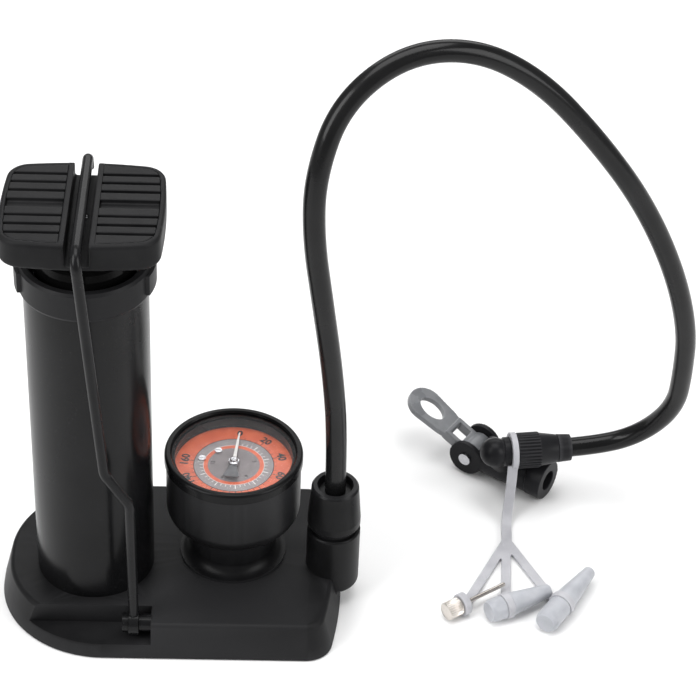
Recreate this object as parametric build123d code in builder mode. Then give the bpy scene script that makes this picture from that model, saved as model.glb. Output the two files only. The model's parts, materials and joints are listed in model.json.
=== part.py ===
from build123d import *
import os
from math import cos, pi, radians, sin, sqrt, tan

os.makedirs("parts", exist_ok=True)

# ---------------------------------------------------------------- driving dimensions (millimetres)
# The base stands on z = 0. X runs along the base, the hose end is at +X, the foot comes from -Y.
base_left = -74.0
base_right = 67.0
base_half_width = 46.5
base_top = 16.0
base_bottom = 0.6
base_draft = 13.5
base_top_round = 2.0
base_bow = 6.0
left_corner_radius = 44.0
right_corner_radius = 11.0
pocket_roof = 13.0
pocket_size = (59.0, 76.0)
pocket_x = 22.5
plate_bottom = 1.2
plate_top = 3.2
plate_inset = 3.0
plate_screws = [(-58, 24), (-61, -16), (30, 33), (30, -33)]
screw_radius = 1.1
screw_head_radius = 3.0
screw_length = 8.5
foot_places = [(-46, 33), (-42, -35), (48, 33), (48, -33)]
foot_radius = 5.0

barrel_x = -35.0
barrel_y = -3.5
barrel_radius = 24.0
barrel_wall = 1.6
barrel_bottom = 12.0
barrel_top = 163.0
barrel_bore = barrel_radius - barrel_wall
valve_deck = 9.0
seat_radius = 4.5
spring_seat = 15.0

collar_bottom = 157.6
collar_top = 170.0
collar_radius = 25.6
collar_lip = 21.0
grip_radius = 27.0
cap_bottom = 159.0
cap_top = 177.0
cap_radius = 19.4
bush_radius = 8.0

rod_radius = 5.0
running_gap = 0.05
piston_bottom = 41.0
piston_top = 51.0
piston_radius = 21.6
seal_bottom = 44.0
seal_top = 48.0
seal_root = 19.6

pedal_bottom = 182.4
pedal_top = 194.0
pedal_width = 61.5
pedal_depth = 56.0
channel_x = barrel_x - 0.5
channel_half_width = 4.5

wire_radius = 2.1
wire_x = barrel_x - 0.3
leg_y = barrel_y - 35.0
pivot_x = barrel_x + 17.5
pivot_z = 13.0
notch_back = barrel_y - 28.5
notch_right = barrel_x + 24.5
notch_floor = 6.7
shoulder_radius = 2.0
thread_radius = 1.6
thread_length = 8.0
eye_radius = 5.0
eye_thickness = 4.0

gauge_x = 21.5
gauge_y = 4.0
gauge_radius = 27.5
gauge_wall = 2.2
gauge_bottom = 35.0
gauge_seam = 64.5
gauge_rim = 69.0
dial_bottom = 60.6
dial_top = 61.4
needle_bottom = 63.0
stem_radius = 3.0
movement_bottom = 43.0
movement_top = 54.6
sector_level = 49.0
sector_offset = 13.6
sector_thickness = 1.6
pinion_radius = 1.5
shaft_radius = 1.2
sector_pin_radius = 1.0

elbow_x = 63.0
elbow_y = barrel_y
elbow_radius = 11.0
elbow_bottom = 7.0
elbow_top = 36.0
nut_bottom = 38.0
nut_top = 58.5
nut_radius = 10.9
union_radius = 6.0
duct_radius = 2.4
duct_bore = 1.2
barrel_duct_level = 6.0
hose_duct_level = 10.2
spigot_end = 49.0

hose_radius = 4.25
hose_hole = hose_radius + 0.1
hose_start = 50.0

head_z = 9.2
head_angle = -34.0
head_pivot = (127.5, 79.3)
head_radius = 8.5
head_length = 37.5
lever_angle = 25.0
gland_angle = 7.6
gland_point = (141.4, 57.5, 26.5)
valve_radius = 3.95


# ---------------------------------------------------------------- shared construction planes and axes
def upright_section(x, y):
    """Plane through an upright axis: first coordinate is the radius, second is the height."""
    return Plane(origin=(x, y, 0), x_dir=(1, 0, 0), z_dir=(0, -1, 0))


def closed_outline(plane, points):
    """Face bounded by straight lines through the points, drawn on the plane."""
    with BuildSketch(plane) as face:
        with BuildLine():
            Polyline(*points, close=True)
        make_face()
    return face.sketch


def base_plan(height, inset):
    """Plan of the base at a height: broad round left end, bowed right end."""
    bow_x = base_right - base_bow
    with BuildSketch(Plane.XY.offset(height)) as plan:
        with BuildLine():
            Line((base_left, -base_half_width), (bow_x, -base_half_width))
            ThreePointArc((bow_x, -base_half_width), (base_right, 0), (bow_x, base_half_width))
            Line((bow_x, base_half_width), (base_left, base_half_width))
            Line((base_left, base_half_width), (base_left, -base_half_width))
        make_face()
        fillet(plan.vertices().group_by(Axis.X)[0], left_corner_radius)
        fillet(plan.vertices().group_by(Axis.X)[-1], right_corner_radius)
        offset(amount=-inset)
    return plan.sketch


barrel_section = upright_section(barrel_x, barrel_y)
barrel_axis = Axis((barrel_x, barrel_y, 0), (0, 0, 1))
gauge_section = upright_section(gauge_x, gauge_y)
gauge_axis = Axis((gauge_x, gauge_y, 0), (0, 0, 1))
elbow_section = upright_section(elbow_x, elbow_y)
elbow_axis = Axis((elbow_x, elbow_y, 0), (0, 0, 1))
on_top = (Align.CENTER, Align.CENTER, Align.MIN)
UP = (0, 0, 1)

# the valve head's own frame: first axis towards the valve mouth, third axis up
mouth_dir = Vector(cos(radians(head_angle)), sin(radians(head_angle)), 0)
side_dir = Vector(-sin(radians(head_angle)), cos(radians(head_angle)), 0)
head_origin = Vector(head_pivot[0], head_pivot[1], head_z)
lever_dir = -mouth_dir * cos(radians(lever_angle)) + Vector(*UP) * sin(radians(lever_angle))
lever_plane = Plane(origin=head_origin, x_dir=lever_dir, z_dir=side_dir.cross(lever_dir))
head_plane = Plane(origin=head_origin, x_dir=mouth_dir, z_dir=UP)
gland_dir = Vector(cos(radians(gland_angle)), sin(radians(gland_angle)), 0)
gland_origin = Vector(*gland_point)
along_gland = Plane(origin=gland_origin, x_dir=(0, 0, 1), z_dir=gland_dir)

# ---------------------------------------------------------------- base
with BuildPart() as base_shell:
    extrude(base_plan(base_bottom, 0), amount=base_top - base_bottom, taper=base_draft)
    fillet(base_shell.edges().group_by(Axis.Z)[-1], base_top_round)
    # open notch for the foot of the bail
    notch_size = (notch_right - base_left, notch_back + base_half_width, base_top)
    with Locations((base_left, -base_half_width, notch_floor)):
        Box(*notch_size, align=Align.MIN, mode=Mode.SUBTRACT)
    # barrel socket, and the hollow beneath it
    with Locations((barrel_x, barrel_y, barrel_bottom)):
        Cylinder(barrel_radius, base_top, align=on_top, mode=Mode.SUBTRACT)
    with Locations((barrel_x, barrel_y, 0)):
        Cylinder(barrel_radius + 1.4, valve_deck, align=on_top, mode=Mode.SUBTRACT)
        Cylinder(seat_radius, barrel_bottom + 1, align=on_top, mode=Mode.SUBTRACT)
    # hollow under the gauge, with a passage for the air duct
    with Locations((pocket_x, 0, 0)):
        Box(*pocket_size, pocket_roof, align=on_top, mode=Mode.SUBTRACT)
    with Locations((pocket_x - pocket_size[0] / 2 - 2, barrel_y + 2, 0)):
        Box(14, 12, valve_deck, align=on_top, mode=Mode.SUBTRACT)
    with Locations((gauge_x, gauge_y, 0)):
        Cylinder(stem_radius, base_top + 1, align=on_top, mode=Mode.SUBTRACT)
    # seat of the hose elbow and its spigot
    with Locations((elbow_x, elbow_y, elbow_bottom)):
        Cylinder(elbow_radius, base_top, align=on_top, mode=Mode.SUBTRACT)
    with Locations(Plane(origin=(spigot_end + 1, elbow_y, hose_duct_level), z_dir=(1, 0, 0))):
        Cylinder(duct_radius, 8, align=on_top, mode=Mode.SUBTRACT)
    # posts for the plate screws
    with Locations(*[(x, y, plate_top) for x, y in plate_screws]):
        Cylinder(4, pocket_roof - plate_top + 0.5, align=on_top)
    # recess for the bottom plate
    extrude(base_plan(0, plate_inset), amount=plate_top, mode=Mode.SUBTRACT)
    with Locations(*[(x, y, 0) for x, y in plate_screws]):
        Cylinder(screw_radius, 11, align=on_top, mode=Mode.SUBTRACT)
    # threaded hole of the bail screw
    with Locations(Plane(origin=(notch_right, leg_y, pivot_z), z_dir=(1, 0, 0))):
        Cylinder(thread_radius, thread_length + 1, align=on_top, mode=Mode.SUBTRACT)
base_shell.part.label = "base_shell"
export_step(base_shell.part, "parts/base_shell.step")

with BuildPart() as bottom_plate:
    extrude(base_plan(plate_bottom, plate_inset), amount=plate_top - plate_bottom)
    with Locations(*[(x, y, plate_bottom) for x, y in plate_screws]):
        Cylinder(screw_radius + 0.5, 4, align=on_top, mode=Mode.SUBTRACT)
        Cylinder(screw_head_radius + 0.2, 1.0, align=on_top, mode=Mode.SUBTRACT)
bottom_plate.part.label = "bottom_plate"
export_step(bottom_plate.part, "parts/bottom_plate.step")

with BuildPart() as plate_screw_set:
    for x, y in plate_screws:
        with Locations((x, y, plate_bottom)):
            Cylinder(screw_head_radius, 0.9, align=on_top)
            Cylinder(screw_radius, screw_length, align=on_top)
            Cylinder(0.8, 0.5, align=on_top, mode=Mode.SUBTRACT)
plate_screw_set.part.label = "plate_screw_set"
export_step(plate_screw_set.part, "parts/plate_screw_set.step")

with BuildPart() as rubber_feet:
    with Locations(*[(x, y, 0) for x, y in foot_places]):
        Cylinder(foot_radius, plate_bottom, align=on_top)
rubber_feet.part.label = "rubber_feet"
export_step(rubber_feet.part, "parts/rubber_feet.step")

# ---------------------------------------------------------------- air passages in the base
block_bottom = plate_top + 0.1
block_radius = 8.0
spring_floor = 4.5
with BuildPart() as valve_block:
    with Locations((barrel_x, barrel_y, block_bottom)):
        Cylinder(block_radius, valve_deck - block_bottom, align=on_top)
    with Locations((barrel_x, barrel_y, spring_floor)):
        Cylinder(2.6, 5, align=on_top, mode=Mode.SUBTRACT)
    with Locations(Plane(origin=(barrel_x, barrel_y, barrel_duct_level), z_dir=(1, 0, 0))):
        Cylinder(duct_bore, 10, align=on_top, mode=Mode.SUBTRACT)
valve_block.part.label = "valve_block"
export_step(valve_block.part, "parts/valve_block.step")

ball_radius = 2.0
port_radius = 1.5
ball_z = valve_deck - sqrt(ball_radius ** 2 - port_radius ** 2) - 0.02
with BuildPart() as check_ball:
    with Locations((barrel_x, barrel_y, ball_z)):
        Sphere(ball_radius)
check_ball.part.label = "check_ball"
export_step(check_ball.part, "parts/check_ball.step")

with BuildPart() as check_spring:
    with BuildLine(Plane.XY.offset(spring_floor + 0.15)) as coil:
        Helix(pitch=0.42, height=0.8, radius=1.25, center=(barrel_x, barrel_y, 0))
    with BuildSketch(Plane(origin=coil.line @ 0, z_dir=coil.line % 0)):
        Circle(0.13)
    sweep(is_frenet=True)
check_spring.part.label = "check_spring"
export_step(check_spring.part, "parts/check_spring.step")

tee_radius = 7.0
stem_bottom = 5.0
with BuildPart() as gauge_tee:
    with Locations((gauge_x, gauge_y, block_bottom)):
        Cylinder(tee_radius, pocket_roof - block_bottom, align=on_top)
    with Locations((gauge_x, gauge_y, stem_bottom)):
        Cylinder(stem_radius, pocket_roof, align=on_top, mode=Mode.SUBTRACT)
gauge_tee.part.label = "gauge_tee"
export_step(gauge_tee.part, "parts/gauge_tee.step")

duct_in = Vector(gauge_x - barrel_x, gauge_y - barrel_y, 0)
with BuildPart() as barrel_duct:
    with BuildSketch(Plane(origin=(barrel_x, barrel_y, barrel_duct_level), z_dir=duct_in)):
        Circle(duct_radius)
        Circle(duct_bore, mode=Mode.SUBTRACT)
    extrude(amount=duct_in.length)
    with Locations((barrel_x, barrel_y, 0)):
        Cylinder(block_radius, 20, align=on_top, mode=Mode.SUBTRACT)
    with Locations((gauge_x, gauge_y, 0)):
        Cylinder(tee_radius, 20, align=on_top, mode=Mode.SUBTRACT)
barrel_duct.part.label = "barrel_duct"
export_step(barrel_duct.part, "parts/barrel_duct.step")

duct_out = Vector(spigot_end - gauge_x, elbow_y - gauge_y, 0)
with BuildPart() as hose_duct:
    with BuildSketch(Plane(origin=(gauge_x, gauge_y, hose_duct_level), z_dir=duct_out)):
        Circle(duct_radius)
        Circle(duct_bore, mode=Mode.SUBTRACT)
    extrude(amount=duct_out.length + 3)
    with Locations((gauge_x, gauge_y, 0)):
        Cylinder(tee_radius, 20, align=on_top, mode=Mode.SUBTRACT)
    with Locations((spigot_end - 0.6, elbow_y, 0)):
        Box(20, 20, 40, align=(Align.MIN, Align.CENTER, Align.MIN), mode=Mode.SUBTRACT)
hose_duct.part.label = "hose_duct"
export_step(hose_duct.part, "parts/hose_duct.step")

# ---------------------------------------------------------------- barrel
with BuildPart() as barrel:
    with BuildSketch(Plane.XY.offset(barrel_bottom)):
        with Locations((barrel_x, barrel_y)):
            Circle(barrel_radius)
            Circle(barrel_bore, mode=Mode.SUBTRACT)
    extrude(amount=barrel_top - barrel_bottom)
barrel.part.label = "barrel"
export_step(barrel.part, "parts/barrel.step")

with BuildPart() as valve_seat:
    revolve(
        closed_outline(
            barrel_section,
            [
                (port_radius, valve_deck),
                (seat_radius, valve_deck),
                (seat_radius, barrel_bottom),
                (barrel_bore, barrel_bottom),
                (barrel_bore, spring_seat),
                (port_radius, spring_seat),
            ],
        ),
        axis=barrel_axis,
    )
valve_seat.part.label = "valve_seat"
export_step(valve_seat.part, "parts/valve_seat.step")

with BuildPart() as collar:
    revolve(
        closed_outline(
            barrel_section,
            [
                (barrel_radius, collar_bottom),
                (collar_radius - 0.4, collar_bottom),
                (collar_radius, collar_bottom + 1),
                (collar_radius, collar_top - 1.2),
                (collar_radius - 0.8, collar_top),
                (collar_lip + 1.6, collar_top),
                (collar_lip, collar_top - 2.0),
                (collar_lip, barrel_top),
                (barrel_radius, barrel_top),
            ],
        ),
        axis=barrel_axis,
    )
    # a raised grip pad on each side
    with BuildSketch(Plane.XY.offset(collar_bottom + 2.2)):
        with Locations((barrel_x, barrel_y)):
            Circle(grip_radius)
            Circle(collar_radius - 1, mode=Mode.SUBTRACT)
            Rectangle(60, 21, mode=Mode.INTERSECT)
    extrude(amount=collar_top - collar_bottom - 3.6)
collar.part.label = "collar"
export_step(collar.part, "parts/collar.step")

with BuildPart() as gland_cap:
    revolve(
        closed_outline(
            barrel_section,
            [
                (bush_radius, cap_bottom),
                (barrel_bore, cap_bottom),
                (barrel_bore, barrel_top),
                (cap_radius, barrel_top),
                (cap_radius, cap_top - 6.0),
                (cap_radius - 0.8, cap_top - 3.4),
                (cap_radius - 2.8, cap_top - 1.2),
                (cap_radius - 6.0, cap_top),
                (bush_radius, cap_top),
            ],
        ),
        axis=barrel_axis,
    )
gland_cap.part.label = "gland_cap"
export_step(gland_cap.part, "parts/gland_cap.step")

with BuildPart() as rod_bush:
    with BuildSketch(Plane.XY.offset(cap_bottom)):
        with Locations((barrel_x, barrel_y)):
            Circle(bush_radius)
            Circle(rod_radius + running_gap, mode=Mode.SUBTRACT)
    extrude(amount=cap_top - cap_bottom)
rod_bush.part.label = "rod_bush"
export_step(rod_bush.part, "parts/rod_bush.step")

# ---------------------------------------------------------------- plunger: rod, piston, seal, spring, pedal
with BuildPart() as piston_rod:
    with BuildSketch(Plane.XY.offset(piston_bottom)):
        with Locations((barrel_x, barrel_y)):
            Circle(rod_radius)
            Circle(rod_radius - 1.5, mode=Mode.SUBTRACT)
    extrude(amount=pedal_bottom - piston_bottom)
piston_rod.part.label = "piston_rod"
export_step(piston_rod.part, "parts/piston_rod.step")

with BuildPart() as piston:
    revolve(
        closed_outline(
            barrel_section,
            [
                (rod_radius, piston_bottom),
                (piston_radius, piston_bottom),
                (piston_radius, seal_bottom),
                (seal_root, seal_bottom),
                (seal_root, seal_top),
                (piston_radius, seal_top),
                (piston_radius, piston_top),
                (rod_radius, piston_top),
            ],
        ),
        axis=barrel_axis,
    )
piston.part.label = "piston"
export_step(piston.part, "parts/piston.step")

seal_lip = barrel_bore - running_gap
with BuildPart() as piston_seal:
    revolve(
        closed_outline(
            barrel_section,
            [
                (seal_root, seal_bottom),
                (piston_radius - 0.2, seal_bottom),
                (seal_lip, seal_bottom + 1),
                (seal_lip, seal_top - 1),
                (piston_radius - 0.2, seal_top),
                (seal_root, seal_top),
            ],
        ),
        axis=barrel_axis,
    )
piston_seal.part.label = "piston_seal"
export_step(piston_seal.part, "parts/piston_seal.step")

coil_radius = 18.5
coil_wire = 1.2
coil_height = piston_bottom - spring_seat - 2 * coil_wire
with BuildPart() as return_spring:
    with BuildLine(Plane.XY.offset(spring_seat + coil_wire)) as coil:
        Helix(pitch=3.2, height=coil_height, radius=coil_radius, center=(barrel_x, barrel_y, 0))
    with BuildSketch(Plane(origin=coil.line @ 0, z_dir=coil.line % 0)):
        Circle(coil_wire)
    sweep(is_frenet=True)
return_spring.part.label = "return_spring"
export_step(return_spring.part, "parts/return_spring.step")


def pedal_plan(height, inset):
    """Plan of the foot pedal: a rounded oblong with bowed edges, drawn in by inset."""
    half_x = pedal_width / 2 - inset
    half_y = pedal_depth / 2 - inset
    corner_x = half_x - 1.5
    corner_y = half_y - 2.5
    with BuildSketch(Plane(origin=(barrel_x, barrel_y, height))) as plan:
        with BuildLine():
            ThreePointArc((-corner_x, -corner_y), (0, -half_y), (corner_x, -corner_y))
            ThreePointArc((corner_x, -corner_y), (half_x, 0), (corner_x, corner_y))
            ThreePointArc((corner_x, corner_y), (0, half_y), (-corner_x, corner_y))
            ThreePointArc((-corner_x, corner_y), (-half_x, 0), (-corner_x, -corner_y))
        make_face()
        fillet(plan.vertices(), 9 - inset)
    return plan.sketch


tread_bottom = 190.8
tread_inset = 2.2
groove_depth = 1.7
edge_round = 1.6
channel_rib = 2.2
divider_width = 2 * (channel_half_width + channel_rib)
boss_bottom = 178.4
channel_floor = pedal_top - 6.1
channel_outline = [
    (barrel_y + 32, pedal_top + 1),
    (barrel_y + 32, channel_floor + 0.2),
    (barrel_y - 5, channel_floor),
    (barrel_y - 14, channel_floor - 1.1),
    (barrel_y - 32, channel_floor - 4.1),
    (barrel_y - 32, pedal_top + 1),
]
channel_plane = Plane(origin=(channel_x - channel_half_width, 0, 0), x_dir=(0, 1, 0), z_dir=(1, 0, 0))
with BuildPart() as pedal_body:
    extrude(pedal_plan(pedal_bottom, 0), amount=pedal_top - pedal_bottom)
    fillet(pedal_body.edges().group_by(Axis.Z)[-1], edge_round)
    fillet(pedal_body.edges().group_by(Axis.Z)[0], edge_round)
    # boss around the end of the rod
    with Locations((barrel_x, barrel_y, boss_bottom)):
        Cylinder(9, 6, align=on_top)
    extrude(pedal_plan(tread_bottom, tread_inset), amount=8, mode=Mode.SUBTRACT)
    # keep a rib of the body on both sides of the bail channel
    with Locations((channel_x, barrel_y, pedal_bottom + 2)):
        Box(divider_width, pedal_depth - 2, pedal_top - pedal_bottom - 2, align=on_top)
    channel_depth = 2 * channel_half_width
    extrude(closed_outline(channel_plane, channel_outline), amount=channel_depth, mode=Mode.SUBTRACT)
    # socket for the rod, and the bore of its top screw
    with Locations((barrel_x, barrel_y, boss_bottom - 1)):
        Cylinder(thread_radius, 30, align=on_top, mode=Mode.SUBTRACT)
        Cylinder(rod_radius, pedal_bottom - boss_bottom + 1, align=on_top, mode=Mode.SUBTRACT)
pedal_body.part.label = "pedal_body"
export_step(pedal_body.part, "parts/pedal_body.step")

rib_pitch = 5.6
groove_width = 1.6
middle_groove_width = 5.4
first_groove = 19.3
groove_centres = [first_groove - rib_pitch * i for i in range(3)]
for side, piece in ((-1, "left"), (1, "right")):
    with BuildPart() as tread:
        extrude(pedal_plan(tread_bottom, tread_inset), amount=pedal_top - tread_bottom)
        with Locations((channel_x - side * 60, barrel_y, tread_bottom)):
            Box(120 + divider_width, 80, 20, align=on_top, mode=Mode.SUBTRACT)
        for centre in groove_centres + [-c for c in groove_centres]:
            with Locations((barrel_x, barrel_y + centre, pedal_top - groove_depth)):
                Box(100, groove_width, 5, align=on_top, mode=Mode.SUBTRACT)
        with Locations((barrel_x, barrel_y, pedal_top - groove_depth)):
            Box(100, middle_groove_width, 5, align=on_top, mode=Mode.SUBTRACT)
    tread.part.label = piece + "_tread"
    export_step(tread.part, "parts/" + piece + "_tread.step")

screw_tip = 175.0
with BuildPart() as pedal_screw:
    with Locations((barrel_x, barrel_y, screw_tip)):
        Cylinder(thread_radius, channel_floor - screw_tip, align=on_top)
pedal_screw.part.label = "pedal_screw"
export_step(pedal_screw.part, "parts/pedal_screw.step")

# ---------------------------------------------------------------- wire bail
hook_y = barrel_y + 32.5
run_z = pedal_top - 0.5
with BuildPart() as bail_wire:
    with BuildLine() as bail_path:
        FilletPolyline(
            (wire_x, hook_y, run_z - 5.2),
            (wire_x, hook_y, run_z),
            (wire_x, leg_y, run_z),
            (barrel_x + 7.5, leg_y, 92),
            (barrel_x + 17, leg_y, 76),
            (pivot_x, leg_y, pivot_z + 3),
            radius=[3, 6, 8, 8],
        )
    with BuildSketch(Plane(origin=bail_path.line @ 0, z_dir=bail_path.line % 0)):
        Circle(wire_radius)
    sweep()
    # flattened eye at the pivot
    with Locations(Plane(origin=(pivot_x, leg_y, pivot_z), z_dir=(1, 0, 0))):
        Cylinder(eye_radius, eye_thickness)
        Cylinder(shoulder_radius + running_gap, eye_thickness, mode=Mode.SUBTRACT)
bail_wire.part.label = "bail_wire"
export_step(bail_wire.part, "parts/bail_wire.step")

screw_head_x = pivot_x - 4.6
shoulder_length = notch_right - screw_head_x
with BuildPart() as bail_screw:
    with Locations(Plane(origin=(screw_head_x, leg_y, pivot_z), z_dir=(1, 0, 0))):
        Cylinder(4, 2.4, align=on_top)
        Cylinder(shoulder_radius, shoulder_length, align=on_top)
        Cylinder(thread_radius, shoulder_length + thread_length, align=on_top)
        Box(1, 5, 1.6, align=on_top, mode=Mode.SUBTRACT)
bail_screw.part.label = "bail_screw"
export_step(bail_screw.part, "parts/bail_screw.step")

spacer_x = pivot_x + eye_thickness / 2 + 0.2
with BuildPart() as bail_spacer:
    with Locations(Plane(origin=(spacer_x, leg_y, pivot_z), z_dir=(1, 0, 0))):
        Cylinder(3.6, notch_right - spacer_x, align=on_top)
        Cylinder(shoulder_radius, notch_right - spacer_x, align=on_top, mode=Mode.SUBTRACT)
bail_spacer.part.label = "bail_spacer"
export_step(bail_spacer.part, "parts/bail_spacer.step")

# ---------------------------------------------------------------- pressure gauge
neck_radius = 17.0
neck_flare = 5.0
flange_top = base_top + 1
with BuildPart() as gauge_neck:
    with BuildSketch(gauge_section):
        with BuildLine():
            Line((stem_radius, base_top), (neck_radius + neck_flare, base_top))
            Line((neck_radius + neck_flare, base_top), (neck_radius + neck_flare, flange_top))
            RadiusArc(
                (neck_radius + neck_flare, flange_top), (neck_radius, flange_top + neck_flare), neck_flare
            )
            Line((neck_radius, flange_top + neck_flare), (neck_radius, gauge_bottom))
            Line((neck_radius, gauge_bottom), (stem_radius, gauge_bottom))
            Line((stem_radius, gauge_bottom), (stem_radius, base_top))
        make_face()
    revolve(axis=gauge_axis)
gauge_neck.part.label = "gauge_neck"
export_step(gauge_neck.part, "parts/gauge_neck.step")

housing_floor = 38.0
with BuildPart() as gauge_stem:
    revolve(
        closed_outline(
            gauge_section,
            [
                (duct_bore, stem_bottom),
                (stem_radius, stem_bottom),
                (stem_radius, housing_floor),
                (6, housing_floor),
                (6, movement_bottom),
                (duct_bore, movement_bottom),
            ],
        ),
        axis=gauge_axis,
    )
gauge_stem.part.label = "gauge_stem"
export_step(gauge_stem.part, "parts/gauge_stem.step")

with BuildPart() as gauge_housing:
    with Locations((gauge_x, gauge_y, gauge_bottom)):
        Cylinder(gauge_radius, gauge_seam - gauge_bottom, align=on_top)
    fillet(gauge_housing.edges().group_by(Axis.Z)[0], 8)
    with Locations((gauge_x, gauge_y, housing_floor)):
        Cylinder(24.0, 40, align=on_top, mode=Mode.SUBTRACT)
    with Locations((gauge_x, gauge_y, dial_bottom)):
        Cylinder(gauge_radius - gauge_wall, 40, align=on_top, mode=Mode.SUBTRACT)
    with Locations((gauge_x, gauge_y, gauge_bottom - 1)):
        Cylinder(stem_radius, 10, align=on_top, mode=Mode.SUBTRACT)
gauge_housing.part.label = "gauge_housing"
export_step(gauge_housing.part, "parts/gauge_housing.step")

lens_bottom = 66.0
lens_thickness = 1.4
lens_radius = 24.6
skirt_radius = 25.2
window_radius = 23.9
bezel_radius = 28.2
bezel_round = 1.4
skirt_bottom = dial_top + 0.1
lens_groove_top = lens_bottom + lens_thickness + 0.2
with BuildPart() as gauge_bezel:
    with BuildSketch(gauge_section):
        with BuildLine():
            Polyline(
                (skirt_radius, skirt_bottom),
                (skirt_radius, gauge_seam),
                (bezel_radius, gauge_seam),
                (bezel_radius, gauge_rim - bezel_round),
            )
            RadiusArc(
                (bezel_radius, gauge_rim - bezel_round), (bezel_radius - bezel_round, gauge_rim), -bezel_round
            )
            Polyline(
                (bezel_radius - bezel_round, gauge_rim),
                (skirt_radius + 0.6, gauge_rim),
                (skirt_radius, gauge_rim - 0.8),
                (skirt_radius, lens_groove_top),
                (lens_radius, lens_groove_top),
                (lens_radius, lens_bottom),
                (window_radius, lens_bottom),
                (window_radius, skirt_bottom),
                (skirt_radius, skirt_bottom),
            )
        make_face()
    revolve(axis=gauge_axis)
gauge_bezel.part.label = "gauge_bezel"
export_step(gauge_bezel.part, "parts/gauge_bezel.step")

with BuildPart() as gauge_lens:
    with Locations((gauge_x, gauge_y, lens_bottom)):
        Cylinder(lens_radius, lens_thickness, align=on_top)
gauge_lens.part.label = "gauge_lens"
export_step(gauge_lens.part, "parts/gauge_lens.step")

dial_screws = [(-13.0, 3.5), (-6.5, 8.5)]
with BuildPart() as gauge_dial:
    with Locations((gauge_x, gauge_y, dial_bottom)):
        Cylinder(gauge_radius - gauge_wall, dial_top - dial_bottom, align=on_top)
        Cylinder(1.6, 4, align=on_top, mode=Mode.SUBTRACT)
    with Locations(*[(gauge_x + x, gauge_y + y, dial_bottom) for x, y in dial_screws]):
        Cylinder(0.9, 4, align=on_top, mode=Mode.SUBTRACT)
gauge_dial.part.label = "gauge_dial"
export_step(gauge_dial.part, "parts/gauge_dial.step")

frame_top = movement_top + sector_thickness
with BuildPart() as dial_screw_set:
    for x, y in dial_screws:
        with Locations((gauge_x + x, gauge_y + y, frame_top)):
            Cylinder(0.9, dial_top - frame_top, align=on_top)
        with Locations((gauge_x + x, gauge_y + y, dial_top)):
            Cylinder(1.5, 0.7, align=on_top)
        with Locations((gauge_x + x, gauge_y + y, dial_top + 0.4)):
            Box(2.4, 0.4, 1, align=on_top, mode=Mode.SUBTRACT)
dial_screw_set.part.label = "dial_screw_set"
export_step(dial_screw_set.part, "parts/dial_screw_set.step")

with BuildPart() as movement_frame:
    with Locations((gauge_x, gauge_y, movement_top)):
        Box(30, 24, frame_top - movement_top, align=on_top)
    with Locations((gauge_x, gauge_y, movement_bottom)):
        Box(30, 22, 1.2, align=on_top)
    with Locations(*[(gauge_x + x, gauge_y + y, movement_bottom) for x, y in ((11, 8), (-11, -8))]):
        Cylinder(1.8, movement_top - movement_bottom, align=on_top)
    # bearing holes of the needle shaft and the sector
    with Locations((gauge_x, gauge_y, movement_bottom)):
        Cylinder(shaft_radius + 0.1, 20, align=on_top, mode=Mode.SUBTRACT)
    with Locations((gauge_x + sector_offset, gauge_y, movement_bottom)):
        Cylinder(sector_pin_radius + running_gap, 20, align=on_top, mode=Mode.SUBTRACT)
    with Locations(*[(gauge_x + x, gauge_y + y, movement_top - 1) for x, y in dial_screws]):
        Cylinder(0.9, 5, align=on_top, mode=Mode.SUBTRACT)
movement_frame.part.label = "movement_frame"
export_step(movement_frame.part, "parts/movement_frame.step")

with BuildPart() as bourdon_tube:
    tube_section = Plane(origin=(gauge_x, gauge_y - 20, sector_level), x_dir=(0, 1, 0), z_dir=(-1, 0, 0))
    with BuildSketch(tube_section):
        SlotOverall(4.5, 2.2, rotation=90)
    revolve(axis=Axis((gauge_x, gauge_y, 0), (0, 0, -1)), revolution_arc=250)
bourdon_tube.part.label = "bourdon_tube"
export_step(bourdon_tube.part, "parts/bourdon_tube.step")

with BuildPart() as needle_shaft:
    with Locations((gauge_x, gauge_y, movement_bottom + 1.3)):
        Cylinder(shaft_radius, needle_bottom - movement_bottom - 1.3, align=on_top)
    with Locations((gauge_x, gauge_y, sector_level - 1)):
        Cylinder(pinion_radius, 4, align=on_top)
needle_shaft.part.label = "needle_shaft"
export_step(needle_shaft.part, "parts/needle_shaft.step")

with BuildPart() as gauge_needle:
    with BuildSketch(Plane(origin=(gauge_x, gauge_y, needle_bottom))):
        Circle(2.0)
        with BuildLine():
            Polyline((-0.9, 0), (-0.35, 16.5), (0.35, 16.5), (0.9, 0), (1.9, -9.0), (-1.9, -9.0), close=True)
        make_face()
    extrude(amount=0.5)
    with Locations((gauge_x, gauge_y, needle_bottom + 0.5)):
        Cylinder(1.5, 1.2, align=on_top)
gauge_needle.part.label = "gauge_needle"
export_step(gauge_needle.part, "parts/gauge_needle.step")

sector_reach = sector_offset - pinion_radius - 0.1
with BuildPart() as sector_gear:
    # toothed rim: its long side passes the pinion as the needle turns clockwise
    with BuildSketch(Plane(origin=(gauge_x + sector_offset, gauge_y, sector_level))):
        Circle(sector_reach)
        Circle(sector_reach - 2.5, mode=Mode.SUBTRACT)
        with BuildLine():
            Polyline((0, 0), (-20, 20 * tan(radians(38))), (-20, -20 * tan(radians(5))), close=True)
        make_face(mode=Mode.INTERSECT)
    extrude(amount=sector_thickness)
    with BuildSketch(Plane(origin=(gauge_x + sector_offset, gauge_y, sector_level))):
        Circle(2.4)
        with BuildLine():
            Polyline((0, -1.5), (-10.5, 1.5), (-10.5, 5), (0, 2), close=True)
        make_face()
    extrude(amount=sector_thickness)
    with Locations((gauge_x + sector_offset, gauge_y, movement_bottom + 0.2)):
        Cylinder(sector_pin_radius, 12.6, align=on_top)
sector_gear.part.label = "sector_gear"
export_step(sector_gear.part, "parts/sector_gear.step")

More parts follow.
